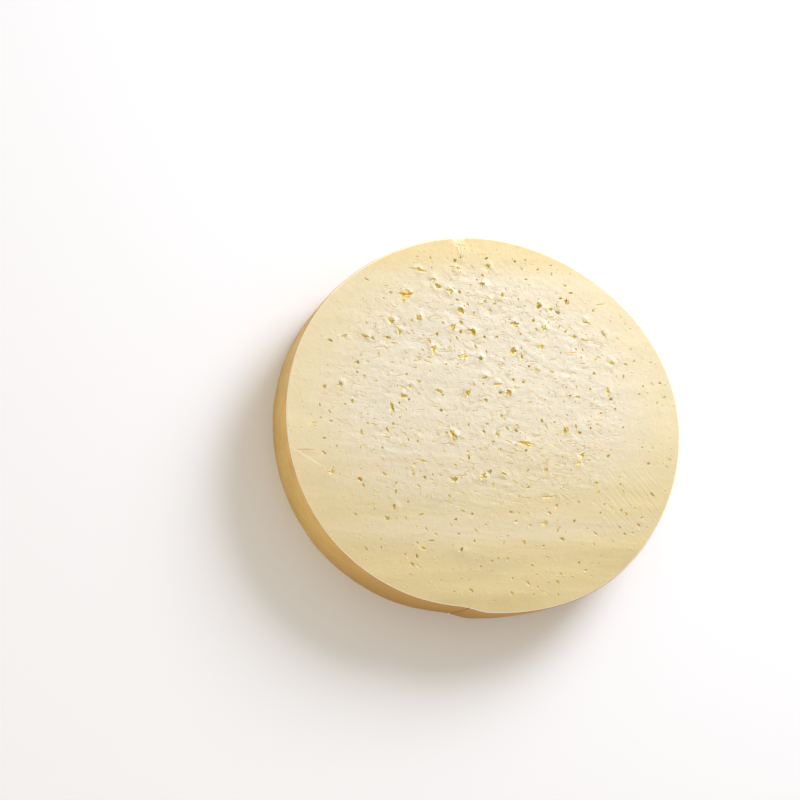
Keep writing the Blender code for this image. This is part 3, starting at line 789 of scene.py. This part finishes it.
def crumb_tree():
    """Scatters flattened uneven specks over the upper face of the finished slice."""
    number = "NodeSocketFloat"
    tree, given, result = new_tree("curd crumbs", {
        "Slice": "NodeSocketObject", "Crumb material": "NodeSocketMaterial",
        "Crumbs per square metre": number, "Smallest": number, "Largest": number})
    body = add(tree, "GeometryNodeObjectInfo", {"Object": given["Slice"]}, out="Geometry")
    up = add(tree, "ShaderNodeSeparateXYZ", {0: add(tree, "GeometryNodeInputNormal", {})}, out="Z")
    position = add(tree, "GeometryNodeInputPosition", {})
    height = add(tree, "ShaderNodeSeparateXYZ", {0: position}, out="Z")
    level = add(tree, "ShaderNodeMath", {0: up, 1: 0.9}, operation="GREATER_THAN")
    lowest_crumb = thickness - 0.4 * mm
    high = add(tree, "ShaderNodeMath", {0: height, 1: lowest_crumb}, operation="GREATER_THAN")
    on_face = add(tree, "ShaderNodeMath", {0: level, 1: high}, operation="MULTIPLY")
    points = add(tree, "GeometryNodeDistributePointsOnFaces",
                 {"Mesh": body, "Selection": on_face, "Seed": 7,
                  "Density": given["Crumbs per square metre"]},
                 out="Points", distribute_method="RANDOM")
    ball = add(tree, "GeometryNodeMeshIcoSphere", {"Radius": 0.5 * mm, "Subdivisions": 1})
    size = add(tree, "FunctionNodeRandomValue",
               {"Min": given["Smallest"], "Max": given["Largest"], "Seed": 8})
    slim = add(tree, "FunctionNodeRandomValue", {"Min": 0.4, "Max": 0.9, "Seed": 9})
    side = add(tree, "ShaderNodeMath", {0: size, 1: slim}, operation="MULTIPLY")
    scale = add(tree, "ShaderNodeCombineXYZ", {"X": size, "Y": side, "Z": side})
    spin = add(tree, "FunctionNodeRandomValue", {"Min": 0.0, "Max": math.tau, "Seed": 10})
    spin = add(tree, "ShaderNodeCombineXYZ", {"Z": spin})
    crumbs = add(tree, "GeometryNodeInstanceOnPoints",
                 {"Points": points, "Instance": ball, "Rotation": spin, "Scale": scale})
    crumbs = add(tree, "GeometryNodeRealizeInstances", {"Geometry": crumbs})
    crumbs = add(tree, "GeometryNodeSetMaterial", {"Geometry": crumbs, "Material": given["Crumb material"]})
    tree.links.new(crumbs, result)
    return tree


crumbs = new_object("curd_crumbs", bpy.data.meshes.new("curd_crumbs"))
crumbs.data.materials.append(crumb_paste)
apply_tree(crumbs, crumb_tree(), {
    "Slice": slice_body, "Crumb material": crumb_paste,
    "Crumbs per square metre": 48000.0, "Smallest": 0.3, "Largest": 1.05})
crumbs.data.materials.clear()
crumbs.data.materials.append(crumb_paste)
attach(crumbs, "root")

# ---------------------------------------------------------------------------------------------
# The setting: a plain white floor, a broad soft light from behind on the right, white fill all
# round, and the camera above the near left edge, looking down at the cut face.
# ---------------------------------------------------------------------------------------------
floor_mesh = bpy.data.meshes.new("floor")
half_floor = 12.0
floor_mesh.from_pydata([(-half_floor, -half_floor, 0), (half_floor, -half_floor, 0),
                        (half_floor, half_floor, 0), (-half_floor, half_floor, 0)], [], [(0, 1, 2, 3)])
floor = new_object("floor", floor_mesh)
floor_material, tree, shader, in_mm = new_material("white_floor")
set_shader(shader, {"Base Color": hex_colour("f1f5ff"), "Roughness": 0.7})
floor_mesh.materials.append(floor_material)


def soft_light(name, place, aim, size, power, colour):
    """A square area light at place, facing aim."""
    data = bpy.data.lights.new(name, "AREA")
    data.size, data.energy, data.color = size, power, hex_colour(colour)[:3]
    ob = new_object(name, data)
    ob.location = place
    ob.rotation_euler = (Vector(aim) - Vector(place)).to_track_quat("-Z", "Y").to_euler()


daylight = new_object("daylight", bpy.data.lights.new("daylight", "SUN"))
daylight.data.angle, daylight.data.energy = math.radians(26), 1.25
daylight.data.color = hex_colour("f6f8ff")[:3]
daylight.rotation_euler = Vector((0.5, 0.56, 0.42)).to_track_quat("Z", "Y").to_euler()
soft_light("window_light", (0.5, 0.54, 0.42), (0, 0, 0), size=0.4, power=5.25, colour="f6f8ff")
soft_light("near_fill", (-1.5, -1.0, 0.6), (0, 0, 0), size=1.2, power=5.0, colour="ffeed2")
world = bpy.data.worlds.new("white_room")
world.use_nodes = True
set_shader(world.node_tree.nodes["Background"], {"Color": hex_colour("fff3de"), "Strength": 0.64})
bpy.context.scene.world = world
bpy.context.scene.view_settings.view_transform = "Standard"

camera_place, camera_aim = Vector((-0.2536, -0.1318, 0.6066)), Vector((-0.0479, 0.0097, 0.0280))
camera_data = bpy.data.cameras.new("camera")
camera_data.lens, camera_data.sensor_width = 58.5, 36.0
camera = new_object("camera", camera_data)
back = (camera_place - camera_aim).normalized()
upward = back.cross(Vector((1, 0, 0))).normalized()
camera.matrix_world = Matrix((upward.cross(back), upward, back)).transposed().to_4x4()
camera.location = camera_place
bpy.context.scene.camera = camera
